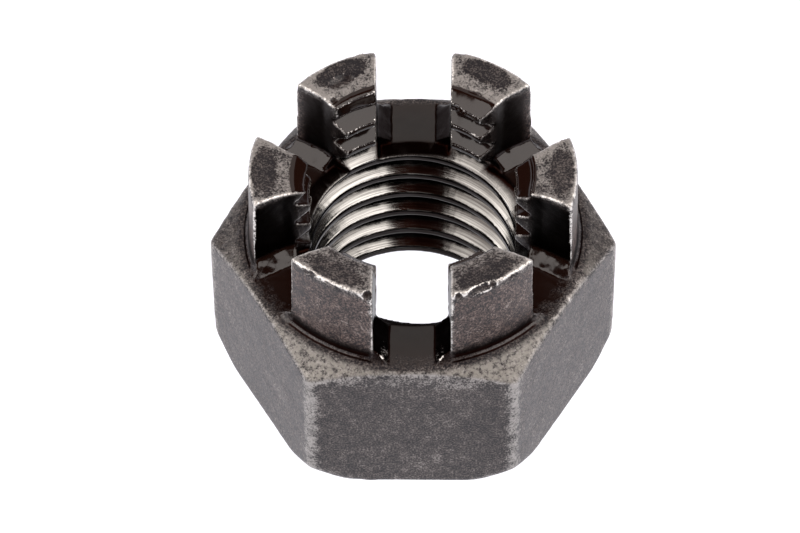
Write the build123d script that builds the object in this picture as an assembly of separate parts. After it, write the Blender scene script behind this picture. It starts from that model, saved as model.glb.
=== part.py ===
from build123d import *

import math
import os

# Castle nut: one forged and tapped piece, a hexagon with a slotted crown on top.
#
# +Z runs up the thread's axis, Z = 0 is the bearing face, and the axis is X = Y = 0.
# Two flats of the hexagon face -Y and +Y, so two of its corners lie on -X and +X.
# The crown's six slots stand over the six flats, and its six prongs over the corners.
# All sizes are in millimetres, and all angles in degrees.

# Hexagon
across_flats = 24.0
hexagon_height = 12.2
corner_round = 0.5             # along the six upright corners
bearing_overlap = 0.6          # how far the bearing face's circle reaches past the flats
bearing_chamfer_angle = 50.0   # above the bearing face
shoulder_inset = 0.25          # how far the shoulder's circle lies inside the flats
shoulder_chamfer_angle = 30.0  # below the shoulder

# Crown
crown_height = 6.55            # from the shoulder up to the outer rim of the prongs
shoulder_width = 0.92          # from a flat in to the crown
crown_draft = 0.1              # how much the crown's radius shrinks towards its rim
root_ring_width = 0.24         # low ring that the crown stands on
root_ring_height = 0.14
root_fillet_height = 0.4       # where the ring runs up into the crown's wall
rim_round = 0.22               # outer rim of the prongs
top_fall = 0.42                # from the outer rim down to the thread's edge
top_bulge = 0.08               # how far a prong's top stands above a straight slope

# Slots for the split pin
slot_count = 6
slot_width = 5.1
slot_sink = 0.06               # slot floor below the shoulder
slot_corner_width = 1.05       # sloped corners beside the slot floor
slot_corner_height = 0.85
prong_edge_round = 0.15        # upright outer edges of the prongs

# Metric coarse thread, bored to its minor diameter
thread_diameter = 16.0
thread_pitch = 2.0
entry_relief = 0.2             # radius of the countersink below, beyond the thread's
exit_relief = 0.2              # radius of the countersink in the crown, beyond the thread's
countersink_angle = 45.0

clear = 1.0                    # how far a cutter runs past what it cuts

# Worked out from the sizes above
internal_thread_depth = thread_pitch * 5 / 16 * math.sqrt(3)
bore_radius = thread_diameter / 2 - internal_thread_depth
entry_radius = thread_diameter / 2 + entry_relief
exit_radius = thread_diameter / 2 + exit_relief
corner_radius = across_flats / math.sqrt(3)
bearing_radius = across_flats / 2 + bearing_overlap
shoulder_radius = across_flats / 2 - shoulder_inset
crown_root_radius = across_flats / 2 - shoulder_width
crown_rim_radius = crown_root_radius - crown_draft
ring_radius = crown_root_radius + root_ring_width
ring_top = hexagon_height + root_ring_height
rim_height = hexagon_height + crown_height
exit_height = rim_height - top_fall
slot_floor = hexagon_height - slot_sink


def rise(run: float, angle: float) -> float:
    """Height gained over a run along a slope of that angle."""
    return run * math.tan(math.radians(angle))


def turned(outline) -> Part:
    """The solid that a closed outline, drawn as (radius, height), sweeps about the thread's axis."""
    return revolve(Plane.XZ * make_face(outline), axis=Axis.Z)


def hexagon() -> Part:
    """The spanner part: a hexagonal bar with rounded corners, coned off at both ends."""
    outline = RegularPolygon(radius=corner_radius, side_count=6)
    outline = fillet(outline.vertices(), corner_round)
    bar = extrude(outline, amount=hexagon_height)

    outside = corner_radius + clear
    low = rise(outside - bearing_radius, bearing_chamfer_angle)
    high = hexagon_height - rise(outside - shoulder_radius, shoulder_chamfer_angle)
    ends = Polyline(
        (0, 0),
        (bearing_radius, 0),
        (outside, low),
        (outside, high),
        (shoulder_radius, hexagon_height),
        (0, hexagon_height),
        close=True,
    )
    return bar & turned(ends)


def crown() -> Part:
    """The crown before it is bored and slotted: low ring, fillet, drafted wall and bulged top."""
    ring_edge = (crown_root_radius + root_ring_width / 2, ring_top)
    wall_low = (crown_root_radius, ring_top + root_fillet_height)
    wall_high = (crown_rim_radius, rim_height - rim_round)
    rim = (crown_rim_radius - rim_round, rim_height)
    inner_edge = (exit_radius, exit_height)
    bulge = ((rim[0] + inner_edge[0]) / 2, (rim[1] + inner_edge[1]) / 2 + top_bulge)
    wall_slope = (wall_high[0] - wall_low[0], wall_high[1] - wall_low[1])
    outline = [
        Polyline((0, exit_height), (0, hexagon_height - clear), (ring_radius, hexagon_height - clear),
                 (ring_radius, ring_top), ring_edge),
        Spline(ring_edge, wall_low, tangents=((-1, 0), wall_slope)),
        Line(wall_low, wall_high),
        RadiusArc(wall_high, rim, -rim_round),
        ThreePointArc(rim, bulge, inner_edge),
        Line(inner_edge, (0, exit_height)),
    ]
    return turned(outline)


def slot_cutter() -> Part:
    """One slot's cutter, from the axis out along +X: upright walls and a floor with sloped corners."""
    wall = slot_width / 2
    floor = wall - slot_corner_width
    corner_top = slot_floor + slot_corner_height
    top = rim_height + clear
    section = Polyline(
        (-wall, top),
        (-wall, corner_top),
        (-floor, slot_floor),
        (floor, slot_floor),
        (wall, corner_top),
        (wall, top),
        close=True,
    )
    return extrude(Plane.YZ * make_face(section), amount=corner_radius + clear)


def bore_cutter() -> Part:
    """The tapping bore with a countersink at each end."""
    top = rim_height + clear
    entry_depth = rise(entry_radius - bore_radius, countersink_angle)
    exit_depth = rise(exit_radius - bore_radius, countersink_angle)
    outline = Polyline(
        (0, -clear),
        (entry_radius, -clear),
        (entry_radius, 0),
        (bore_radius, entry_depth),
        (bore_radius, exit_height - exit_depth),
        (exit_radius, exit_height),
        (exit_radius, top),
        (0, top),
        close=True,
    )
    return turned(outline)


def prong_edges(body: Part) -> ShapeList:
    """The upright outer edges of the prongs, two on each."""

    def is_prong_edge(edge: Edge) -> bool:
        ends = (edge @ 0, edge @ 1)
        outside = min(math.hypot(end.X, end.Y) for end in ends) > crown_rim_radius - rim_round
        tall = abs(ends[1].Z - ends[0].Z) > crown_height / 2
        return outside and tall and min(end.Z for end in ends) > ring_top

    return body.edges().filter_by(is_prong_edge)


def castle_nut() -> Part:
    """The whole nut: hexagon and crown in one, bored through, with the slots cut all round."""
    body = hexagon() + crown() - bore_cutter()
    places = PolarLocations(radius=0, count=slot_count, start_angle=90)
    body -= [place * slot_cutter() for place in places]
    return fillet(prong_edges(body), prong_edge_round)


os.makedirs("parts", exist_ok=True)
export_step(castle_nut(), "parts/castle_nut.step")
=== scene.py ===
"""Looks for a castle nut: one forged, tapped and slotted piece in worn black oxide.

The nut is cut in code as a workshop would cut it. A hexagonal bar is coned off at both ends,
the crown is turned on top, six slots are sawn across it and a right-hand thread is tapped
through. Knocks, chips and pits are then cut from its edges, and the sharp edges are rubbed
round. Lengths inside the nut's classes are millimetres; the finished mesh is metres.
"""

import logging
import math
import random
from dataclasses import dataclass, field
from enum import Enum

import bmesh
import bpy
import numpy as np
from mathutils import Matrix, Vector, noise


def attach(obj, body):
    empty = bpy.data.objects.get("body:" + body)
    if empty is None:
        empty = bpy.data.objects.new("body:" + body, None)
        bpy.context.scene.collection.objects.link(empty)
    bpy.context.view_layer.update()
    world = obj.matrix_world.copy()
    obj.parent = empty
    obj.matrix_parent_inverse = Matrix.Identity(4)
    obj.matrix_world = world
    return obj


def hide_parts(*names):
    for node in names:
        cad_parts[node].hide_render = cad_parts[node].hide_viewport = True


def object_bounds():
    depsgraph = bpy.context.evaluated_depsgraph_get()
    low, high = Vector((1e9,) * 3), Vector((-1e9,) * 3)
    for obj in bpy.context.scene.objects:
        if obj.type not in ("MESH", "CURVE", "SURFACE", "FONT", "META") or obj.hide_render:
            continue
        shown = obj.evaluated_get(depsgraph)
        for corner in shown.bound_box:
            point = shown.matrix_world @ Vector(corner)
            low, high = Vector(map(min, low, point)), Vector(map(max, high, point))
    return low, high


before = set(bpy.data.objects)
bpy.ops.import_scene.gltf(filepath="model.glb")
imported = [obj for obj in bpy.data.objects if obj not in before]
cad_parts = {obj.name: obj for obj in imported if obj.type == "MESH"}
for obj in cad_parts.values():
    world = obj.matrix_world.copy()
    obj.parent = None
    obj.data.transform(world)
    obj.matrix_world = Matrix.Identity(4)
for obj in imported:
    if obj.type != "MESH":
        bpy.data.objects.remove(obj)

MM = 0.001
CAD_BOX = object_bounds()
ACROSS_FLATS, OVERALL = (round((CAD_BOX[1][axis] - CAD_BOX[0][axis]) / MM, 3) for axis in (1, 2))
SHOULDER = 12.2          # height of the hexagon
SHOULDER_RADIUS = 11.75  # where the shoulder's cone begins
CORE = 5.0               # radius left open in everything turned, well inside the bore
REACH = 15.0             # radius beyond the whole nut
LOG = logging.getLogger("castle_nut")

Colour = tuple[float, float, float]
Section = list[tuple[float, float]]
Pairs = tuple[tuple[float, float], ...]
Socket = bpy.types.NodeSocket
Piece = bpy.types.Object


class Cut(Enum):
    """How one solid is combined with another."""

    JOIN = "UNION"
    TAKE_AWAY = "DIFFERENCE"
    KEEP_COMMON = "INTERSECT"


class Mask(Enum):
    """Names of the numbers stored on every point of the nut's mesh."""

    EDGE = "worn_edge"
    NEAR = "handled_margin"
    CORNER = "inside_corner"
    THREAD = "tapped_bore"
    # painted light and shade of the tapped thread
    PAINTED_THREAD_LIGHT = "thread_shine"
    OIL = "oily_slot"
    # grime together with painted shade inside the slots
    GRIME_AND_SHADE = "grimy_wall"
    SCUFF = "scuffed_face"
    BRUISE = "crushed_shoulder"
    FOOT = "crown_foot"
    # smooth dark patches on the tops, with the painted shadow beside the back-left scar
    DISH_AND_SCAR_SHADE = "smooth_dish"
    # bright flecks painted as highlights in the front slot's sloped corners
    PAINTED_HIGHLIGHT_FLECK = "flecked_corner"


# --- small workshop tools ---


def new_object(bm: bmesh.types.BMesh, name: str) -> Piece:
    """Turns a bmesh into a linked object and frees the bmesh.

    Args:
        bm: The finished shape.
        name: Name of the object and its mesh.

    Returns:
        The new object, at the origin.
    """
    mesh = bpy.data.meshes.new(name)
    bm.to_mesh(mesh)
    bm.free()
    piece = bpy.data.objects.new(name, mesh)
    bpy.context.scene.collection.objects.link(piece)
    return piece


def bake_modifiers(piece: Piece) -> None:
    """Replaces an object's mesh with what its modifiers make of it.

    Args:
        piece: The object, which is left with no modifiers.
    """
    bpy.context.view_layer.update()
    graph = bpy.context.evaluated_depsgraph_get()
    old = piece.data
    fresh = bpy.data.meshes.new_from_object(piece.evaluated_get(graph), depsgraph=graph)
    piece.modifiers.clear()
    piece.data = fresh
    bpy.data.meshes.remove(old)


def combine(piece: Piece, tool: Piece, how: Cut, overlapping: bool = False) -> None:
    """Cuts, joins or trims one solid with another and throws the tool away.

    Args:
        piece: The solid that is changed.
        tool: The solid that changes it.
        how: The way they are combined.
        overlapping: True where the tool is many closed shells that may overlap.
    """
    step = piece.modifiers.new("combine", "BOOLEAN")
    step.operation = how.value
    step.solver = "EXACT"
    step.use_self = overlapping
    step.object = tool
    bake_modifiers(piece)
    spent = tool.data
    bpy.data.objects.remove(tool)
    bpy.data.meshes.remove(spent)


def turned(outline: Section, steps: int) -> bmesh.types.BMesh:
    """Spins a closed outline about the thread's axis.

    Args:
        outline: Corners of the section as (radius, height), all off the axis.
        steps: Number of facets round the axis.

    Returns:
        The closed ring, facing outwards.
    """
    bm = bmesh.new()
    points = [bm.verts.new((radius, 0.0, height)) for radius, height in outline]
    rim = [bm.edges.new((a, b)) for a, b in zip(points, points[1:] + points[:1])]
    bmesh.ops.spin(bm, geom=points + rim, cent=(0, 0, 0), axis=(0, 0, 1), angle=2 * math.pi,
                   steps=steps, use_merge=True, use_duplicate=False)
    bmesh.ops.remove_doubles(bm, verts=bm.verts, dist=1e-4)
    bmesh.ops.recalc_face_normals(bm, faces=bm.faces)
    return bm


def smooth(bm: bmesh.types.BMesh, verts: list[bmesh.types.BMVert], rounds: int) -> None:
    """Draws points half way towards the middle of their neighbours, so many times over."""
    for _ in range(rounds):
        bmesh.ops.smooth_vert(bm, verts=verts, factor=0.5,
                              use_axis_x=True, use_axis_y=True, use_axis_z=True)


def sector(angle: float, half_width: float, low: float, high: float) -> Piece:
    """Makes an upright slab that reaches from the axis outwards.

    Args:
        angle: Direction of the slab from the axis, in degrees.
        half_width: Half of its width across that direction.
        low: Height of its underside.
        high: Height of its top.

    Returns:
        The closed slab.
    """
    bm = bmesh.new()
    bmesh.ops.create_cube(bm, size=1.0)
    bmesh.ops.scale(bm, verts=bm.verts, vec=(REACH, half_width * 2, high - low))
    bmesh.ops.translate(bm, verts=bm.verts, vec=(REACH / 2, 0, (low + high) / 2))
    bmesh.ops.rotate(bm, verts=bm.verts, matrix=Matrix.Rotation(math.radians(angle), 3, "Z"))
    return new_object(bm, "sector_work")


def rise(run: float, degrees: float) -> float:
    """Height gained over a run along a slope."""
    return run * math.tan(math.radians(degrees))


def radius_of(place: Vector) -> float:
    """Distance of a point from the thread's axis."""
    return math.hypot(place.x, place.y)


def arc(centre: tuple[float, float], radius: float, start: float, stop: float,
        count: int) -> Section:
    """Points along an arc in a section, its angles in degrees from the outward direction."""
    turns = [math.radians(start + (stop - start) * i / (count - 1)) for i in range(count)]
    return [(centre[0] + radius * math.cos(t), centre[1] + radius * math.sin(t)) for t in turns]


# --- the nut's own shapes ---


@dataclass(frozen=True)
class Hexagon:
    """The spanner part: a hexagonal bar, coned off above and below."""

    across_flats: float = ACROSS_FLATS
    height: float = SHOULDER
    corner_round: float = 0.5
    bearing_radius: float = 12.6
    bearing_angle: float = 50.0
    shoulder_radius: float = SHOULDER_RADIUS
    shoulder_angle: float = 30.0
    envelope_radius: float = 15.5

    def bar(self) -> bmesh.types.BMesh:
        """Makes a plain hexagonal bar with rounded upright corners.

        Returns:
            The bar, with two flats facing -Y and +Y.
        """
        bm = bmesh.new()
        corner = self.across_flats / math.sqrt(3)
        bmesh.ops.create_circle(bm, cap_ends=True, segments=6, radius=corner)
        bmesh.ops.rotate(bm, verts=bm.verts, matrix=Matrix.Rotation(math.radians(90), 3, "Z"))
        grown = bmesh.ops.extrude_face_region(bm, geom=bm.faces[:])
        top = [item for item in grown["geom"] if isinstance(item, bmesh.types.BMVert)]
        bmesh.ops.translate(bm, verts=top, vec=(0, 0, self.height))
        upright = [e for e in bm.edges if abs(e.verts[0].co.z - e.verts[1].co.z) > 1.0]
        bmesh.ops.bevel(bm, geom=upright, offset=self.corner_round * math.tan(math.radians(30)),
                        offset_type="OFFSET", segments=5, profile=0.5, affect="EDGES", material=-1)
        bmesh.ops.recalc_face_normals(bm, faces=bm.faces)
        return bm

    def envelope(self) -> bmesh.types.BMesh:
        """Makes the turned shape that cones the bar off.

        Returns:
            The closed ring, with its core left open for the bore.
        """
        outside = self.envelope_radius
        low = rise(outside - self.bearing_radius, self.bearing_angle)
        high = self.height - rise(outside - self.shoulder_radius, self.shoulder_angle)
        outline = [(CORE, 0), (self.bearing_radius, 0), (outside, low), (outside, high),
                   (self.shoulder_radius, self.height), (CORE, self.height)]
        return turned(outline, 240)

    def build(self) -> Piece:
        """Makes the coned bar.

        Returns:
            The hexagon, with an open core.
        """
        piece = new_object(self.bar(), "hexagon_work")
        combine(piece, new_object(self.envelope(), "envelope_work"), Cut.KEEP_COMMON)
        return piece


@dataclass(frozen=True)
class Crown:
    """The turned crown before it is slotted: low ring, fillet, drafted wall and bulged top."""

    shoulder: float = SHOULDER
    sunk: float = 1.0
    root_radius: float = 11.08
    rim_radius: float = 10.98
    rim_height: float = OVERALL
    rim_round: float = 0.2
    ring_radius: float = 11.32
    ring_height: float = 0.14
    fillet: Pairs = ((0.11, 0.0), (0.03, 0.16), (0.0, 0.4))
    inner_radius: float = 8.2
    inner_height: float = 18.33
    bulge: float = 0.08

    def build(self) -> Piece:
        """Makes the crown as one turned ring.

        Returns:
            The crown, reaching a little down into the hexagon.
        """
        ring_top = self.shoulder + self.ring_height
        rim = (self.rim_radius - self.rim_round, self.rim_height - self.rim_round)
        middle = ((rim[0] + self.inner_radius) / 2, (self.rim_height + self.inner_height) / 2 + self.bulge)
        outline = [
            (CORE, self.shoulder - self.sunk),
            (self.ring_radius, self.shoulder - self.sunk),
            (self.ring_radius, ring_top),
            *((self.root_radius + out, ring_top + up) for out, up in self.fillet),
            *arc(rim, self.rim_round, 0, 90, 6),
            middle,
            (self.inner_radius, self.inner_height),
            (CORE, self.inner_height),
        ]
        return new_object(turned(outline, 240), "crown_work")


@dataclass(frozen=True)
class SlotSaw:
    """The cutter of one split-pin slot: upright walls, and a floor with sloped corners."""

    width: float = 5.1
    floor: float = 12.14
    corner_width: float = 1.05
    corner_height: float = 0.85
    top: float = 20.0
    narrow_to: float = 7.4
    wide_from: float = 8.5
    lip_radius: float = 8.05
    lip_fall: float = 0.2
    lip_margin: float = 0.12

    def build(self, angle: float, drift: float, squeeze: float) -> Piece:
        """Makes the cutter for one slot.

        Args:
            angle: Direction of the slot from the axis, in degrees.
            drift: How far the slot lies to one side of the axis.
            squeeze: Share of the width that is left where the slot breaks into the thread.

        Returns:
            A closed prism from the axis outwards.
        """
        wall, floor = self.width / 2, self.width / 2 - self.corner_width
        low, high = self.floor, self.top
        section = [(-wall, high), (-wall, low + self.corner_height), (-floor, low), (floor, low),
                   (wall, low + self.corner_height), (wall, high)]
        stations = ((0.0, squeeze), (self.narrow_to, squeeze), (self.wide_from, 1.0), (REACH, 1.0))
        bm = bmesh.new()
        rings = [[bm.verts.new((out, side * share + drift, height)) for side, height in section]
                 for out, share in stations]
        bm.faces.new(rings[0])
        bm.faces.new(rings[-1])
        for near, far in zip(rings, rings[1:]):
            for corners in zip(near, near[1:] + near[:1], far[1:] + far[:1], far):
                bm.faces.new(corners)
        bmesh.ops.recalc_face_normals(bm, faces=bm.faces)
        bmesh.ops.rotate(bm, verts=bm.verts, matrix=Matrix.Rotation(math.radians(angle), 3, "Z"))
        return new_object(bm, "slot_work")

    def lip(self, angle: float) -> Piece:
        """Makes the cutter that breaks the thin inner lip away from one slot's floor.

        Args:
            angle: Direction of the slot from the axis, in degrees.

        Returns:
            A closed stretch of a ring, falling towards the axis.
        """
        above = 13.3
        low = self.floor - (self.lip_radius - CORE) * self.lip_fall
        outline = [(CORE, low), (self.lip_radius, self.floor), (self.lip_radius, above), (CORE, above)]
        ring = new_object(turned(outline, 160), "lip_work")
        combine(ring, sector(angle, self.width / 2 - self.lip_margin, 11.0, 13.2), Cut.KEEP_COMMON)
        return ring


@dataclass(frozen=True)
class Tap:
    """A right-hand metric tap and the countersinks at both mouths of its hole.

    A bite is the turn, the radius and the lowest height of a piece lost from the first thread.
    """

    major_radius: float = 8.03
    minor_radius: float = 6.92
    pitch: float = 2.0
    crest_top: float = 11.4
    countersink_radius: float = 8.2
    top_radius: float = 8.0
    top_mouth: float = 18.37
    top_angle: float = 30.0
    bites: tuple[tuple[float, float, float], ...] = (
        (121.0, 7.66, 17.15), (240.0, 8.1, 16.75), (300.0, 8.05, 16.75))
    bite_half_width: float = 3.4
    below: float = -1.5
    above: float = 20.0
    turns: int = 13
    steps_per_turn: int = 96

    def thread(self) -> Piece:
        """Makes the tap as one closed helical bar.

        Returns:
            The tap, reaching past both ends of the nut.
        """
        p, turns = self.pitch, self.turns
        start = self.crest_top - 8 * p
        flank = (self.major_radius - self.minor_radius) * math.tan(math.radians(30))
        root = p - p / 4 - 2 * flank
        section = [(self.minor_radius, start - p / 4), (self.minor_radius, start),
                   (self.major_radius, start + flank), (self.major_radius, start + flank + root),
                   (self.minor_radius, start + 2 * flank + root)]
        bm = bmesh.new()
        points = [bm.verts.new((r, 0.0, z)) for r, z in section]
        lines = [bm.edges.new(pair) for pair in zip(points, points[1:])]
        bmesh.ops.spin(bm, geom=points + lines, cent=(0, 0, 0), axis=(0, 0, 1), angle=2 * math.pi * turns,
                       dvec=(0, 0, p / self.steps_per_turn), steps=self.steps_per_turn * turns,
                       use_merge=False, use_duplicate=False)
        bmesh.ops.remove_doubles(bm, verts=bm.verts, dist=1e-3)
        for height, up in ((self.below, -1.0), (self.above, 1.0)):
            bmesh.ops.bisect_plane(bm, geom=bm.verts[:] + bm.edges[:] + bm.faces[:], dist=1e-5,
                                   plane_co=(0, 0, height), plane_no=(0, 0, up), clear_outer=True)
            open_edges = [e for e in bm.edges if e.is_boundary
                          and all(abs(v.co.z - height) < 1e-3 for v in e.verts)]
            bmesh.ops.edgeloop_fill(bm, edges=open_edges)
        bmesh.ops.triangulate(bm, faces=[f for f in bm.faces if len(f.verts) > 4])
        bmesh.ops.recalc_face_normals(bm, faces=bm.faces)
        return new_object(bm, "tap_work")

    def mouths(self) -> list[Piece]:
        """Makes the cutters that open the hole's mouths.

        Returns:
            The bottom countersink, the shallow top one, and the bites that the first turn of
            thread has lost on some prongs.
        """
        inner, outer, above = CORE, 9.7, self.above
        foot, toe = self.countersink_radius - inner, self.countersink_radius - outer
        bottom = turned([(inner, foot), (inner, self.below), (outer, self.below), (outer, toe)], 160)
        low, high = (self.top_mouth + rise(r - self.top_radius, self.top_angle) for r in (inner, outer))
        top = turned([(inner, low), (outer, high), (outer, above), (inner, above)], 160)
        cutters = [new_object(bottom, "bottom_mouth_work"), new_object(top, "top_mouth_work")]
        for angle, radius, floor in self.bites:
            ring = turned([(inner, floor), (radius, floor), (radius, above), (inner, above)], 160)
            bite = new_object(ring, "bite_work")
            combine(bite, sector(angle, self.bite_half_width, 17.0, 21.0), Cut.KEEP_COMMON)
            cutters.append(bite)
        return cutters


@dataclass(frozen=True)
class Knock:
    """One dent or chip: a smooth pebble-shaped bite out of the surface."""

    turn: float
    radius: float
    height: float
    size: tuple[float, float, float]
    tilt: float = 0.0

    def stamp(self, bm: bmesh.types.BMesh) -> None:
        """Adds this knock's cutter to a bmesh.

        Args:
            bm: Holds every knock that is cut in one go. The size runs along the radius,
                round the nut and up, before the tilt about the radius.
        """
        pebble = bmesh.ops.create_icosphere(bm, subdivisions=2, radius=1.0)["verts"]
        for vert in pebble:
            vert.co *= 1.0 + 0.12 * noise.noise(vert.co * 1.7 + Vector((self.turn, self.height, 0.0)))
        bmesh.ops.scale(bm, verts=pebble, vec=self.size)
        bmesh.ops.rotate(bm, verts=pebble, matrix=Matrix.Rotation(math.radians(self.tilt), 3, "X"))
        bmesh.ops.translate(bm, verts=pebble, vec=(self.radius, 0, self.height))
        bmesh.ops.rotate(bm, verts=pebble, matrix=Matrix.Rotation(math.radians(self.turn), 3, "Z"))


@dataclass(frozen=True)
class Blemishes:
    """Everything that service and the forge have knocked out of the nut."""

    seed: int = 7
    chips_per_prong: int = 7
    pits: int = 150
    cone_slope: float = 0.577
    named: tuple[Knock, ...] = (
        Knock(-64.0, 11.10, 18.62, (0.52, 1.5, 0.34), 3.0),
        Knock(-53.0, 11.10, 18.50, (0.36, 1.3, 0.12), 4.0),
        Knock(-105.4, 11.0, 18.55, (0.55, 0.36, 0.36)),
        Knock(-108.4, 11.12, 18.14, (0.28, 0.42, 0.10), -14.0),
        Knock(-118.0, 11.12, 18.56, (0.34, 1.1, 0.12), -4.0),
        Knock(-128.0, 11.1, 18.6, (0.40, 0.55, 0.24), 6.0),
        Knock(-73.6, 11.05, 18.55, (0.44, 0.26, 0.26), 10.0),
        Knock(-73.0, 11.12, 18.15, (0.26, 0.40, 0.10), 16.0),
        Knock(122.5, 9.2, 18.73, (0.60, 1.15, 0.45), 3.0),
        Knock(130.0, 8.35, 18.50, (0.30, 0.35, 0.30)),
        Knock(63.0, 8.25, 18.52, (0.22, 1.3, 0.26), 5.0),
        Knock(65.5, 6.95, 17.55, (0.22, 0.55, 0.3), 12.0),
    )

    def rim_chips(self, rng: random.Random) -> list[Knock]:
        """Places small chips along the rims of the six prongs.

        Args:
            rng: Source of the chips' places and sizes.

        Returns:
            The chips.
        """
        chips = []
        for prong in range(6):
            for _ in range(self.chips_per_prong):
                turn = prong * 60.0 + rng.uniform(-16, 16)
                radius = 11.08 + rng.uniform(-0.06, 0.1)
                height = 18.72 + rng.uniform(-0.12, 0.12)
                size = (rng.uniform(0.12, 0.28), rng.uniform(0.15, 0.5), rng.uniform(0.1, 0.22))
                chips.append(Knock(turn, radius, height, size, rng.uniform(-25, 25)))
        return chips

    def shoulder_pits(self, rng: random.Random) -> list[Knock]:
        """Places pits and scale marks on the shoulder's cone and along the hexagon's edges.

        Args:
            rng: Source of the pits' places and sizes.

        Returns:
            The pits.
        """
        pits = []
        for _ in range(self.pits):
            turn = rng.uniform(0, 360)
            off_corner = (turn + 30) % 60 - 30
            edge = ACROSS_FLATS / 2 / math.cos(math.radians(30 - abs(off_corner)))
            radius = rng.uniform(11.6, edge + 0.1)
            height = SHOULDER - max(0.0, radius - SHOULDER_RADIUS) * self.cone_slope
            bite = rng.uniform(0.12, 0.34)
            pits.append(Knock(turn, radius, height + bite * 0.25,
                              (bite, bite * rng.uniform(0.7, 1.8), bite * 0.42), rng.uniform(-10, 10)))
        return pits

    def build(self) -> Piece:
        """Collects every knock into one cutter.

        Returns:
            Many closed pebbles in one object.
        """
        rng = random.Random(self.seed)
        bm = bmesh.new()
        for knock in [*self.named, *self.rim_chips(rng), *self.shoulder_pits(rng)]:
            knock.stamp(bm)
        bmesh.ops.recalc_face_normals(bm, faces=bm.faces)
        return new_object(bm, "knocks_work")


# --- the finished nut ---


@dataclass
class MeshField:
    """Numbers on the points of a dense mesh, and the sums over neighbours that they need."""

    mesh: bpy.types.Mesh

    def __post_init__(self) -> None:
        """Reads points, normals and edges from the mesh."""
        count = len(self.mesh.vertices)
        flat = {name: np.empty(count * 3, np.float32) for name in ("co", "normal")}
        for name, values in flat.items():
            self.mesh.vertices.foreach_get(name, values)
        self.points, self.normals = (v.reshape(-1, 3).astype(np.float64) for v in flat.values())
        pairs = np.empty(len(self.mesh.edges) * 2, np.int32)
        self.mesh.edges.foreach_get("vertices", pairs)
        self.pairs = pairs.reshape(-1, 2)
        self.degree = np.bincount(pairs, minlength=count).astype(np.float64)

    def neighbour_mean(self, values: np.ndarray) -> np.ndarray:
        """Mean of a number over each point's neighbours.

        Args:
            values: One number for each point.

        Returns:
            The means, in the same order.
        """
        a, b = self.pairs[:, 0], self.pairs[:, 1]
        total = np.bincount(a, values[b], len(values)) + np.bincount(b, values[a], len(values))
        return total / np.maximum(self.degree, 1)

    def spread(self, values: np.ndarray, rounds: int) -> np.ndarray:
        """Blurs a number over the surface.

        Args:
            values: One number for each point.
            rounds: How many times it is averaged with its neighbours.

        Returns:
            The blurred numbers.
        """
        for _ in range(rounds):
            values = 0.5 * values + 0.5 * self.neighbour_mean(values)
        return values

    def bend(self, rounds: int) -> np.ndarray:
        """Millimetres from each point down to the blurred surface, positive on edges."""
        blurred = np.stack([self.spread(self.points[:, axis], rounds) for axis in range(3)], 1)
        return ((self.points - blurred) * self.normals).sum(1)

    def write(self, mask: Mask, values: np.ndarray) -> None:
        """Stores a number on the mesh's points."""
        layer = self.mesh.attributes.new(mask.value, "FLOAT", "POINT")
        layer.data.foreach_set("value", np.clip(values, 0, 1).astype(np.float32))


def ramp(values: np.ndarray, start: float, stop: float) -> np.ndarray:
    """Smooth step from 0 at start to 1 at stop, which may be the smaller of the two."""
    t = np.clip((values - start) / (stop - start), 0, 1)
    return t * t * (3 - 2 * t)


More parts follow.
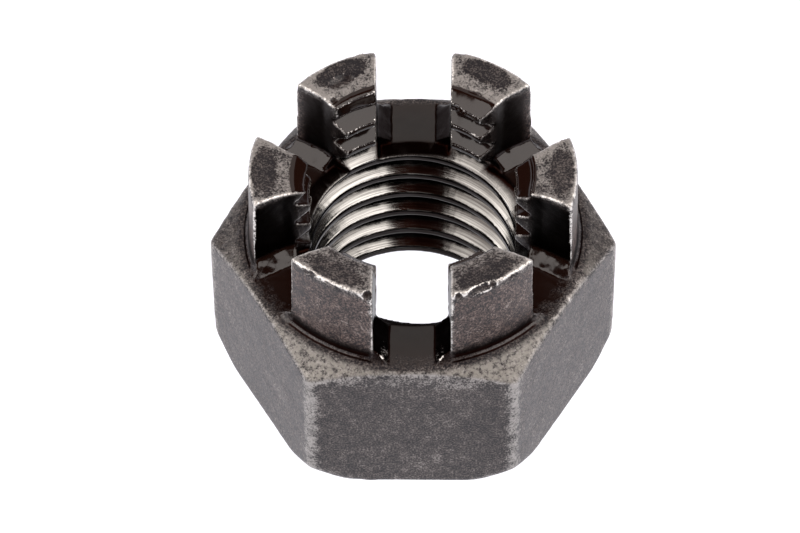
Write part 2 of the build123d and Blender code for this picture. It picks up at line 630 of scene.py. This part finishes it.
@dataclass
class WearMap:
    """Where the nut is worn, grimy, tapped, oily or scuffed, and where light and shade are painted on it, as
    one number for each Mask.

    Places are in millimetres and turns in degrees. The front of the nut faces -Y.
    """

    surface: MeshField

    def __post_init__(self) -> None:
        """Works out where each point lies round the nut, which way it faces, and what is tapped."""
        self.x, self.y, self.z = self.surface.points.T
        across, along, self.up = self.surface.normals.T
        self.radius = np.hypot(self.x, self.y)
        self.turn = np.degrees(np.arctan2(self.y, self.x))
        self.out = (across * self.x + along * self.y) / self.radius
        self.off_middle = np.abs(self.radius * np.sin(np.radians(self.turn % 60.0 - 30.0)))
        sideways = np.sqrt(np.clip(1 - self.out ** 2 - self.up ** 2, 0, 1))
        self.tapped = ramp(self.radius, 8.3, 8.15) * ramp(sideways, 0.6, 0.35)
        below_slots = np.where(self.off_middle < 2.62, ramp(self.z, 11.95, 11.85), 1.0)
        self.bore = self.tapped * ramp(self.z, 12.95, 12.7) * below_slots

    def store(self, mask: Mask, values: np.ndarray, rounds: int = 0) -> None:
        """Blurs a number over the surface and stores it."""
        self.surface.write(mask, self.surface.spread(values, rounds))

    def mark(self) -> None:
        """Stores every number on the mesh."""
        self.mark_edges()
        self.mark_bore()
        self.mark_slots()
        self.mark_tops_and_flats()
        cone = ramp(self.radius, 11.75, 12.1) * ramp(self.up, 0.45, 0.75) * ramp(self.z, 9.0, 10.0)
        front = 0.15 + 0.85 * ramp(self.y, 0.0, -6.0)
        self.surface.write(Mask.BRUISE, self.surface.spread(cone, 3) * front)

    def mark_edges(self) -> None:
        """Marks sharp edges, the margins beside them, and inside corners."""
        fine = self.surface.spread(self.surface.bend(4), 1)
        wide = self.surface.spread(self.surface.bend(24), 4)
        thread = 0.2 * ramp(self.radius, 8.5, 8.3)
        hexagon = 0.45 * ramp(self.radius, 11.7, 11.9)
        slot_floor = 0.6 * ramp(self.z, 13.2, 12.8) * ramp(self.radius, 11.6, 11.4)
        kept = (1 - thread) * (1 - hexagon) * (1 - slot_floor)
        self.store(Mask.EDGE, ramp(fine, 0.005, 0.012) * kept)
        self.store(Mask.NEAR, ramp(wide, 0.012, 0.05))
        self.store(Mask.CORNER, np.maximum(ramp(fine, -0.004, -0.014), ramp(wide, -0.03, -0.07)))

    def mark_bore(self) -> None:
        """Marks the thread below the slots, and paints light and shade on it: dark crest flats, flanks darker
        towards the roots, and a dimmer back right side.
        """
        self.store(Mask.THREAD, self.bore, 1)
        # painted light and shade: crest flats and the flanks towards the roots are darkened, and the back of
        # the right side is dimmer than the left
        crest = ramp(self.radius, 7.12, 7.0) * ramp(self.out, -0.75, -0.95)
        flank = (1 - 0.72 * ramp(self.radius, 7.0, 7.5)) * (1 - 0.8 * ramp(self.radius, 7.5, 7.9))
        right, left = 0.5 + 0.4 * ramp(self.turn, 48.0, 28.0), 0.9 + 0.1 * ramp(self.turn, 135.0, 150.0)
        self.store(Mask.PAINTED_THREAD_LIGHT, flank * (1 - 0.93 * crest) * np.where(self.x > 0, right, left))

    def mark_slots(self) -> None:
        """Marks grime and painted shade on the slots' walls, lips and sloped corners, oil on their floors,
        the foot of the crown, and painted highlights in the front slot's corners.
        """
        radius, y, z = self.radius, self.y, self.z
        slot = ramp(self.off_middle, 2.66, 2.58) * ramp(z, 11.8, 11.95) * ramp(radius, 11.5, 11.0)
        # grime together with painted shade: the slots' walls, lips and sloped corners are darkened, less on
        # the back slots' outer edges
        wall = slot * ramp(self.up, 0.45, 0.25) * ramp(z, 18.35, 18.1)
        wall *= np.where(y > 5.0, ramp(radius, 11.05, 10.15), ramp(radius, 11.2, 11.05))
        wall *= 0.7 + 0.3 * ramp(radius, 7.9, 8.2)
        slope = slot * ramp(self.up, 0.93, 0.85) * ramp(z, 13.3, 13.1) * ramp(np.abs(self.x), 4.0, 3.5)
        lip = slot * ramp(radius, 8.08, 8.0) * ramp(z, 12.5, 12.2)
        grime_and_shade = np.maximum.reduce([wall, lip, slope])
        foot = ramp(z, 11.9, 12.1) * ramp(z, 13.6, 12.5) * ramp(radius, 11.75, 11.4)
        self.store(Mask.FOOT, foot * ramp(self.off_middle, 2.6, 2.8) * ramp(radius, 10.8, 10.9))
        puddle = slot * ramp(z, 13.4, 13.1) * (1 - grime_and_shade)
        puddle *= 1 - 0.5 * ramp(radius, 10.0, 10.6) * ramp(y, 0.0, -5.0)
        oil = np.maximum.reduce([puddle, self.tapped * ramp(z, 12.1, 12.7), 0.45 * foot])
        self.store(Mask.OIL, oil * (1 - self.bore), 2)
        self.store(Mask.GRIME_AND_SHADE, grime_and_shade, 2)
        # painted highlights: bright bare flecks only in the front slot's sloped corners
        front = ramp(y, 0.0, -4.0)
        self.store(Mask.PAINTED_HIGHLIGHT_FLECK, slope * front * ramp(radius, 9.0, 10.2) * ramp(self.off_middle, 2.3, 2.0))

    def mark_tops_and_flats(self) -> None:
        """Marks smooth dark patches on the prongs' tops, a painted shadow beside the back-left scar, and
        scuffs round them and on the flats.
        """
        radius, y, off_middle = self.radius, self.y, self.off_middle
        along = radius * np.sin(np.radians((self.turn + 30.0) % 60.0 - 30.0))
        top = ramp(self.z, 17.9, 18.15) * ramp(self.up, 0.6, 0.85)
        facet = top * ramp(np.abs(radius - 8.93), 0.36, 0.26) * ramp(np.abs(self.turn - 123.0), 4.2, 3.4)
        # painted shadow of the back-left scar's riser, darkened along with the smooth patches
        groove = ramp(np.abs(radius - 9.55), 0.28, 0.16) * ramp(np.abs(self.turn - 122.0), 4.5, 3.5)
        patch = ramp(np.hypot(along / 1.95, (radius - 10.0) / 0.86), 1.0, 0.88)
        dish_and_scar_shade = top * np.maximum(patch, groove) * (1 - facet)
        back, left = ramp(y, 3.0, 6.0), ramp(self.x, -2.0, -4.0)
        share = 0.25 + 0.2 * back + 0.2 * left * back
        self.surface.write(Mask.DISH_AND_SCAR_SHADE, self.surface.spread(dish_and_scar_shade, 1) * share)

        flat = ramp(radius, 11.7, 11.9) * ramp(self.up, 0.5, 0.3)
        low_corner = ramp(self.z, 1.3, 0.1) * ramp(off_middle, 3.0, 7.0)
        band = flat * np.maximum(ramp(off_middle, 5.9, 6.7), low_corner)
        brow = 0.45 * flat * ramp(self.z, 10.35, 10.7) * ramp(y, -11.0, -11.5)
        worn_top = top * (1 - dish_and_scar_shade) * (0.45 + 0.55 * ramp(y, -6.0, 6.0))
        self.store(Mask.SCUFF, np.maximum.reduce([worn_top, facet, band, brow]), 3)


@dataclass
class CastleNut:
    """The nut: cuts it, rubs it, marks its worn regions and where light and shade are painted, and dresses
    it.

    A slot is its turn, its drift and its squeeze. A wave is its height and its rate.
    """

    hexagon: Hexagon = field(default_factory=Hexagon)
    crown: Crown = field(default_factory=Crown)
    saw: SlotSaw = field(default_factory=SlotSaw)
    tap: Tap = field(default_factory=Tap)
    blemishes: Blemishes = field(default_factory=Blemishes)
    grain: float = 0.1
    slots: tuple[tuple[float, float, float], ...] = (
        (30.0, 0.03, 0.89), (90.0, 0.04, 0.99), (150.0, 0.02, 0.89),
        (210.0, -0.03, 0.93), (270.0, 0.0, 0.93), (330.0, 0.02, 0.93))
    forged_waves: Pairs = ((0.016, 0.55), (0.010, 1.6), (0.008, 4.5))
    sawn_waves: Pairs = ((0.020, 1.3), (0.012, 3.1))
    most_triangles: int = 185_000

    def cut(self) -> Piece:
        """Cuts the sharp nut.

        Returns:
            One closed solid.
        """
        piece = self.hexagon.build()
        combine(piece, self.crown.build(), Cut.JOIN)
        for angle, drift, squeeze in self.slots:
            combine(piece, self.saw.build(angle, drift, squeeze), Cut.TAKE_AWAY)
        for mouth in self.tap.mouths():
            combine(piece, mouth, Cut.TAKE_AWAY)
        combine(piece, self.tap.thread(), Cut.TAKE_AWAY)
        for angle, _, _ in self.slots:
            combine(piece, self.saw.lip(angle), Cut.TAKE_AWAY)
        combine(piece, self.blemishes.build(), Cut.TAKE_AWAY, overlapping=True)
        return piece

    def rub(self, piece: Piece) -> None:
        """Gives the nut an even fine mesh and rubs its sharp edges round.

        Args:
            piece: The sharp nut, changed in place.
        """
        step = piece.modifiers.new("even", "REMESH")
        step.mode = "VOXEL"
        step.voxel_size = self.grain
        step.adaptivity = 0.0
        bake_modifiers(piece)
        bm = bmesh.new()
        bm.from_mesh(piece.data)
        smooth(bm, bm.verts[:], 3)
        outside = [v for v in bm.verts if v.co.z < 13.0 and radius_of(v.co) > 11.5]
        smooth(bm, outside, 8)
        rim = [v for v in bm.verts if v.co.z > 17.9 and radius_of(v.co) > 10.3]
        ends = [v for v in rim if self.off_slot(v.co) < 3.5 and v.co.y > -3.0]
        back = [v for v in ends if v.co.y > 9.5]
        inner = [v for v in bm.verts if v.co.z > 17.6 and radius_of(v.co) < 8.7 and v.co.y < 4.0]
        bottom = [v for v in outside if v.co.z < 3.0]
        for rubbed, rounds in ((rim, 2), (ends, 14), (back, 24), (inner, 10), (bottom, 24)):
            smooth(bm, rubbed, rounds)
        bm.to_mesh(piece.data)
        bm.free()

    @staticmethod
    def off_slot(place: Vector) -> float:
        """Distance of a point from the middle plane of the nearest slot."""
        turn = math.degrees(math.atan2(place.y, place.x)) % 60.0 - 30.0
        return abs(radius_of(place) * math.sin(math.radians(turn)))

    def roughen(self, piece: Piece) -> None:
        """Moves the surface in and out a little, as forged and handled steel is never flat.

        Args:
            piece: The rubbed nut, changed in place. Its thread stays as it was cut.
        """
        mesh = piece.data
        for vert, normal in zip(mesh.vertices, [n.vector.copy() for n in mesh.vertex_normals]):
            radius = radius_of(vert.co)
            if radius < 8.4:
                continue
            in_slot = 11.9 < vert.co.z < 13.4 and radius < 11.4
            waves = self.forged_waves + (self.sawn_waves if in_slot else ())
            depth = sum(height * noise.noise(vert.co * rate) for height, rate in waves)
            vert.co += normal * depth

    def thin(self, piece: Piece) -> None:
        """Thins the mesh where it is flat, down to the most triangles it may have.

        Args:
            piece: The dense nut, changed in place.
        """
        triangles = sum(len(p.vertices) - 2 for p in piece.data.polygons)
        if triangles > self.most_triangles:
            step = piece.modifiers.new("thin", "DECIMATE")
            step.decimate_type = "COLLAPSE"
            step.ratio = self.most_triangles / triangles
            bake_modifiers(piece)

    def finish_mesh(self, piece: Piece) -> None:
        """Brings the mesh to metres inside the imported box, smooth shaded and facing outwards.

        Args:
            piece: The nut in millimetres, changed in place.
        """
        low, high = (Vector(corner) / MM for corner in CAD_BOX)
        bm = bmesh.new()
        bm.from_mesh(piece.data)
        for vert in bm.verts:
            vert.co = Vector(tuple(min(max(c, a), b) for c, a, b in zip(vert.co, low, high)))
        bmesh.ops.scale(bm, verts=bm.verts, vec=(MM, MM, MM))
        bmesh.ops.recalc_face_normals(bm, faces=bm.faces)
        for face in bm.faces:
            face.smooth = True
        loose = sum(not e.is_manifold for e in bm.edges)
        bm.to_mesh(piece.data)
        bm.free()
        LOG.info("finished nut: %d faces, %d open edges", len(piece.data.polygons), loose)

    def build(self, finish: "NutFinish") -> Piece:
        """Makes the whole nut and dresses it.

        Args:
            finish: The steel's finish.

        Returns:
            The finished nut, riding on the part's body.
        """
        piece = self.cut()
        self.rub(piece)
        self.roughen(piece)
        WearMap(MeshField(piece.data)).mark()
        self.thin(piece)
        self.finish_mesh(piece)
        piece.name = piece.data.name = "worn_castle_nut"
        piece.data.materials.clear()
        piece.data.materials.append(finish.build())
        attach(piece, "root")
        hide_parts("castle_nut")
        LOG.info("castle nut: %d points", len(piece.data.vertices))
        return piece


# --- finishes ---


@dataclass
class Wiring:
    """Short words for laying out a material's nodes."""

    material: bpy.types.Material

    def __post_init__(self) -> None:
        """Clears the material's nodes."""
        self.material.use_nodes = True
        self.material.node_tree.nodes.clear()

    def node(self, kind: str, inputs: dict | None = None, **settings: object) -> bpy.types.Node:
        """Adds a node.

        Args:
            kind: Name of the kind of node.
            inputs: What its inputs get, each another node's output, a number or a colour.
            settings: Properties to set on it.

        Returns:
            The new node.
        """
        made = self.material.node_tree.nodes.new(kind)
        for name, value in settings.items():
            setattr(made, name, value)
        for name, value in (inputs or {}).items():
            socket = made.inputs[name]
            if isinstance(value, Socket):
                self.material.node_tree.links.new(value, socket)
            else:
                socket.default_value = (*value, 1.0) if socket.type == "RGBA" else value
        return made

    def mask(self, mask: Mask) -> Socket:
        """Reads one of the nut's stored numbers."""
        stored = self.node("ShaderNodeAttribute", attribute_type="GEOMETRY", attribute_name=mask.value)
        return stored.outputs["Fac"]

    def place(self) -> Socket:
        """Place of the shaded point on the nut, in metres."""
        return self.node("ShaderNodeTexCoord").outputs["Object"]

    def cloud(self, scale: float, detail: float, rough: float, place: Socket | None = None) -> Socket:
        """Noise fixed to the nut, about 0.3 to 0.7, with so many features to the metre."""
        inputs = {"Vector": place or self.place(), "Scale": scale, "Detail": detail, "Roughness": rough}
        return self.node("ShaderNodeTexNoise", inputs).outputs["Fac"]

    def math(self, how: str, a: object, b: object = 0.0, clamp: bool = False) -> Socket:
        """One step of arithmetic on one or two numbers."""
        return self.node("ShaderNodeMath", {0: a, 1: b}, operation=how, use_clamp=clamp).outputs[0]

    def times(self, a: object, b: object) -> Socket:
        """One number times another."""
        return self.math("MULTIPLY", a, b)

    def step(self, value: object, start: float, stop: float) -> Socket:
        """Smooth step of a number, from 0 at start to 1 at stop, which may be the smaller."""
        inputs = {"Value": value, "From Min": start, "From Max": stop}
        return self.node("ShaderNodeMapRange", inputs, interpolation_type="SMOOTHSTEP").outputs["Result"]

    def blend(self, share: object, a: object, b: object) -> Socket:
        """Mixes a share of the second colour into the first."""
        return self.node("ShaderNodeMix", {0: share, 6: a, 7: b}, data_type="RGBA").outputs[2]

    def between(self, share: object, a: object, b: object) -> Socket:
        """Mixes a share of the second number into the first."""
        return self.node("ShaderNodeMix", {0: share, 2: a, 3: b}, data_type="FLOAT").outputs[0]


@dataclass(frozen=True)
class NutFinish:
    """Oiled black oxide on forged steel, worn through on edges, with a bright tapped thread. Some of its
    light and shade is painted into the colour: on the thread, in the slots, round the crown's foot and beside
    a scar on a top.
    """

    oxide: Colour = (0.0060, 0.0048, 0.0072)
    oxide_pale: Colour = (0.1250, 0.1070, 0.1000)
    oxide_brown: Colour = (0.1500, 0.1050, 0.0900)
    crushed: Colour = (0.245, 0.232, 0.208)
    scuffed: Colour = (0.40, 0.385, 0.37)
    bare: Colour = (0.78, 0.76, 0.73)
    oil: Colour = (0.0105, 0.0040, 0.0027)
    # near-black grime and painted shade for the slots' walls and the painted groove shade round the crown's
    # foot
    grime_and_shade: Colour = (0.0050, 0.0014, 0.0009)
    thread: Colour = (0.40, 0.40, 0.385)
    # painted shade of the thread, blended in where its painted light is low
    thread_painted_shade: Colour = (0.005, 0.0016, 0.0009)
    grain_bump: float = 0.00002
    oil_bump: float = 0.000010
    ior: float = 1.39
    # negative weights wear less: inside corners, and the smooth patches with the painted scar shadow
    worn_by: tuple[tuple[Mask, float], ...] = (
        (Mask.NEAR, 0.09), (Mask.EDGE, 0.13), (Mask.SCUFF, 0.165), (Mask.BRUISE, 0.05),
        (Mask.CORNER, -0.2), (Mask.DISH_AND_SCAR_SHADE, -0.2))

    def build(self) -> bpy.types.Material:
        """Lays out the material.

        Returns:
            The finished material.
        """
        material = bpy.data.materials.new("worn_black_oxide")
        w = Wiring(material)
        layers = OxideLayers(w, self)
        shader = w.node("ShaderNodeBsdfPrincipled", {
            "Base Color": layers.colour(), "Metallic": layers.metal(), "Roughness": layers.roughness(),
            "Normal": layers.relief(), "IOR": self.ior})
        w.node("ShaderNodeOutputMaterial", {"Surface": shader.outputs["BSDF"]})
        return material


@dataclass
class OxideLayers:
    """The layers of the nut's finish, each a socket that gives 0 to 1 over the nut."""

    w: Wiring
    finish: NutFinish

    def __post_init__(self) -> None:
        """Makes the patterns and layers that colour, metal, roughness and relief share."""
        w = self.w
        self.grit, self.mottle = w.cloud(7500, 3, 0.65), w.cloud(1700, 5, 0.7)
        self.ragged = w.between(0.5, self.mottle, self.grit)
        self.broad = w.math("SUBTRACT", w.cloud(260, 4, 0.6), 0.5)
        x, y, self.height = w.node("ShaderNodeSeparateXYZ", {0: w.place()}).outputs
        self.radius = w.math("SQRT", w.math("ADD", w.times(x, x), w.times(y, y)))
        self.turn = w.math("ARCTAN2", y, x)
        self.thread, self.corner = w.mask(Mask.THREAD), w.mask(Mask.CORNER)
        splash = w.times(w.math("SUBTRACT", self.mottle, 0.5), 0.8)
        self.oil = w.step(w.math("ADD", w.mask(Mask.OIL), splash), 0.3, 0.6)
        # painted shade of two turned grooves round the crown's foot, laid in with the grime and painted shade
        rings = w.times(w.mask(Mask.FOOT), self.painted_groove_shade())
        self.grime_and_shade = w.math("MAXIMUM", w.mask(Mask.GRIME_AND_SHADE), rings)
        self.wear, self.chips, self.lines = self.worn(), self.chipped(), self.turning_lines()

    def painted_groove_shade(self) -> Socket:
        """Paints two dark rings round the foot of the crown: painted shade where turned grooves would be,
        though no groove is cut.

        Returns:
            1 on the painted rings and 0 away from them.
        """
        w = self.w
        away = [w.math("ABSOLUTE", w.math("SUBTRACT", self.radius, groove * MM)) for groove in (11.13, 11.40)]
        return w.math("MAXIMUM", *(w.step(distance, 0.09 * MM, 0.04 * MM) for distance in away))

    def turning_lines(self) -> Socket:
        """Makes the fine lines that the tap leaves, running round the bore.

        Returns:
            Noise that changes fast along the radius and the height, and slowly round the bore.
        """
        w = self.w
        lead = Tap.pitch * MM / (2 * math.pi)
        climb = w.math("SUBTRACT", self.height, w.times(self.turn, lead))
        rates = ((self.radius, 9000.0), (climb, 9000.0), (self.turn, 1.6))
        stretched = {axis: w.times(value, rate) for axis, (value, rate) in enumerate(rates)}
        place = w.node("ShaderNodeCombineXYZ", stretched).outputs[0]
        return w.step(w.cloud(1.0, 3.0, 0.6, place), 0.3, 0.7)

    def worn(self) -> Socket:
        """Makes the patches where the oxide is rubbed down to paler steel.

        Returns:
            1 where it is rubbed through.
        """
        w = self.w
        exposure = w.times(self.broad, 0.25)
        for mask, weight in self.finish.worn_by:
            exposure = w.math("ADD", exposure, w.times(w.mask(mask), weight))
        return w.step(w.math("ADD", self.ragged, exposure), 0.54, 0.76)

    def chipped(self) -> Socket:
        """Makes the bare bright chips on edges, and bare bright flecks painted as highlights in the front
        slot's sloped corners.

        Returns:
            1 where the steel is bare.
        """
        w = self.w
        edge = w.times(w.mask(Mask.EDGE), 0.30)
        highlight_fleck = w.times(w.mask(Mask.PAINTED_HIGHLIGHT_FLECK), 0.22)
        chips = w.step(w.math("ADD", w.math("ADD", edge, highlight_fleck), self.ragged), 0.73, 0.83)
        return w.times(chips, w.math("SUBTRACT", 1.0, self.corner))

    def oxide(self) -> Socket:
        """Colours the oxide: black under a paler film, browner on the crown, crushed on the shoulder.

        Returns:
            The oxide's colour.
        """
        w, finish = self.w, self.finish
        above, below = w.step(self.height, 12.4 * MM, 13.6 * MM), w.step(self.height, 18.4 * MM, 17.9 * MM)
        pale = w.blend(w.times(above, below), finish.oxide_pale, finish.oxide_brown)
        film = w.math("ADD", w.between(0.7, self.mottle, self.grit), w.times(self.broad, 0.12))
        # less pale film on the smooth dark patches and on the painted scar shadow
        patch_and_scar_shade = w.times(w.mask(Mask.DISH_AND_SCAR_SHADE), 0.5)
        share = w.math("SUBTRACT", w.step(film, 0.42, 0.64), patch_and_scar_shade, clamp=True)
        crushed = w.times(w.mask(Mask.BRUISE), w.step(w.cloud(3000, 4, 0.7), 0.36, 0.56))
        return w.blend(crushed, w.blend(share, finish.oxide, pale), finish.crushed)

    def colour(self) -> Socket:
        """Lays the layers' colours one over the other.

        Returns:
            The nut's colour.
        """
        w, finish = self.w, self.finish
        # the thread's colour runs from its painted shade to bright steel by its painted light and the tap's
        # lines
        painted_light = w.math("MULTIPLY", w.mask(Mask.PAINTED_THREAD_LIGHT), w.between(self.lines, 0.4, 1.1), clamp=True)
        colour = self.oxide()
        # inside corners are darkened with the oil's near-black colour
        for share, over in ((w.times(self.wear, 0.85), finish.scuffed), (self.corner, finish.oil),
                            # grime and painted shade of the slots' walls and the crown's foot
                            (self.oil, finish.oil), (self.grime_and_shade, finish.grime_and_shade), (self.chips, finish.bare),
                            (self.thread, w.blend(painted_light, finish.thread_painted_shade, finish.thread))):
            colour = w.blend(share, colour, over)
        return colour

    def metal(self) -> Socket:
        """Makes steel metallic, and also the grime and painted shade on the slots' walls and the crown's
        foot, so they reflect little; leaves oxide and oil as they are.

        Returns:
            The share of metal.
        """
        w = self.w
        metal = w.between(self.oil, w.times(self.wear, 0.75), 0.0)
        metal = w.math("MAXIMUM", w.between(self.grime_and_shade, metal, 1.0), self.chips)
        return w.between(self.thread, metal, 1.0)

    def roughness(self) -> Socket:
        """Lays the layers' roughnesses one over the other.

        Returns:
            The nut's roughness.
        """
        w = self.w
        rough = w.between(self.mottle, 0.28, 0.50)
        for share, over in ((self.wear, 0.50), (self.oil, 0.10), (self.grime_and_shade, 0.30), (self.chips, 0.45),
                            (self.thread, w.between(self.lines, 0.09, 0.17))):
            rough = w.between(share, rough, over)
        return rough

    def relief(self) -> Socket:
        """Lays gentle ripples of oil over the fine grain of the steel.

        Returns:
            The bumped normal.
        """
        w = self.w
        steel = w.between(self.oil, self.ragged, 0.5)
        grain = w.between(self.thread, steel, w.times(self.lines, 0.05))
        ripples = w.times(w.cloud(900, 2, 0.5), self.oil)
        dry = {"Strength": 1.0, "Distance": self.finish.grain_bump, "Height": grain}
        normal = w.node("ShaderNodeBump", dry).outputs["Normal"]
        wet = {"Strength": 1.0, "Distance": self.finish.oil_bump, "Height": ripples, "Normal": normal}
        return w.node("ShaderNodeBump", wet).outputs["Normal"]


# --- studio ---


@dataclass(frozen=True)
class Softbox:
    """One soft lamp aimed at the nut, of an even brightness over its face."""

    name: str
    towards: tuple[float, float, float]
    distance: float
    width: float
    height: float
    brightness: float

    def build(self) -> None:
        """Hangs the lamp, aimed at the middle of the nut."""
        light = bpy.data.lights.new(self.name, "AREA")
        light.shape = "RECTANGLE"
        light.size, light.size_y = self.width, self.height
        light.energy = self.brightness * math.pi * self.width * self.height
        light.color = (1.0, 0.94, 0.90)
        lamp = bpy.data.objects.new(self.name, light)
        direction = Vector(self.towards).normalized()
        lamp.location = Vector((0, 0, 0.012)) + direction * self.distance
        lamp.rotation_euler = (-direction).to_track_quat("-Z", "Y").to_euler()
        bpy.context.scene.collection.objects.link(lamp)


@dataclass(frozen=True)
class Studio:
    """Pale sweep, soft lamps and the camera. The camera's angles are in degrees."""

    lamps: tuple[Softbox, ...] = (
        Softbox("softbox_left", (-0.68, -0.12, 0.73), 0.40, 0.38, 0.30, 3.7),
        Softbox("softbox_right", (0.68, -0.12, 0.73), 0.40, 0.38, 0.30, 3.7),
        Softbox("softbox_back", (0.0, 0.62, 0.785), 0.45, 0.34, 0.22, 1.15),
        Softbox("softbox_front", (0.0, -0.87, 0.50), 0.50, 0.50, 0.14, 0.55),
    )
    sweep_rings: Pairs = ((1.2, 0.04), (1.12, 0.12), (1.05, 0.2), (1.0, 0.5))
    sweep_colour: Colour = (0.15, 0.15, 0.15)
    sweep_roughness: float = 0.8
    sweep_glow: Colour = (0.955, 0.945, 1.0)
    glow_strength: float = 1.12
    room_colour: Colour = (1.0, 0.25, 0.14)
    room_strength: float = 0.042
    distance: float = 0.3322
    elevation: float = 51.70
    azimuth: float = 0.708
    roll: float = 0.462
    lens: float = 219.0
    aim_height: float = 0.008
    aim_right: float = -0.000913
    aim_up: float = 0.000268

    def camera(self) -> None:
        """Sets up the camera, a long lens looking down on the nut from the front."""
        az, el = math.radians(self.azimuth), math.radians(self.elevation)
        back = Vector((math.sin(az) * math.cos(el), -math.cos(az) * math.cos(el), math.sin(el)))
        right = Vector((math.cos(az), math.sin(az), 0.0))
        up = back.cross(right)
        centre = Vector((0, 0, self.aim_height))
        place = centre + back * self.distance
        target = centre + right * self.aim_right + up * self.aim_up
        data = bpy.data.cameras.new("camera")
        data.lens, data.sensor_width = self.lens, 36.0
        data.clip_start, data.clip_end = 0.01, 20.0
        camera = bpy.data.objects.new("camera", data)
        camera.location = place
        aim = (target - place).to_track_quat("-Z", "Y").to_matrix().to_4x4()
        roll = Matrix.Rotation(math.radians(-self.roll), 4, "Z")
        camera.rotation_euler = (aim @ roll).to_euler()
        bpy.context.scene.collection.objects.link(camera)
        bpy.context.scene.camera = camera

    def sweep(self) -> None:
        """Lays the pale floor, which curves up into a low wall all round."""
        bm = bmesh.new()
        bmesh.ops.create_circle(bm, cap_ends=True, segments=96, radius=2.0)
        for wider, higher in self.sweep_rings:
            rim = [e for e in bm.edges if e.is_boundary]
            grown = bmesh.ops.extrude_edge_only(bm, edges=rim)["geom"]
            ring = [item for item in grown if isinstance(item, bmesh.types.BMVert)]
            bmesh.ops.scale(bm, verts=ring, vec=(wider, wider, 1.0))
            bmesh.ops.translate(bm, verts=ring, vec=(0, 0, higher))
        bmesh.ops.recalc_face_normals(bm, faces=bm.faces)
        for face in bm.faces:
            face.smooth = True
        sweep = new_object(bm, "pale_sweep")
        material = bpy.data.materials.new("pale_sweep")
        w = Wiring(material)
        shader = w.node("ShaderNodeBsdfPrincipled", {
            "Base Color": self.sweep_colour, "Roughness": self.sweep_roughness,
            "Emission Color": self.sweep_glow, "Emission Strength": self.glow_strength})
        w.node("ShaderNodeOutputMaterial", {"Surface": shader.outputs["BSDF"]})
        sweep.data.materials.append(material)

    def surround(self) -> None:
        """Leaves the room above the sweep nearly dark."""
        world = bpy.data.worlds.new("studio")
        world.use_nodes = True
        background = world.node_tree.nodes["Background"]
        background.inputs["Color"].default_value = (*self.room_colour, 1)
        background.inputs["Strength"].default_value = self.room_strength
        bpy.context.scene.world = world

    def build(self) -> None:
        """Sets the whole stage."""
        bpy.context.scene.view_settings.view_transform = "Standard"
        self.surround()
        self.sweep()
        for lamp in self.lamps:
            lamp.build()
        self.camera()
        LOG.info("studio: %d lamps", len(self.lamps))


def main() -> None:
    """Builds the nut and its studio in order."""
    logging.basicConfig(level=logging.INFO, format="%(name)s: %(message)s")
    CastleNut().build(NutFinish())
    Studio().build()


if __name__ == "__main__":
    main()
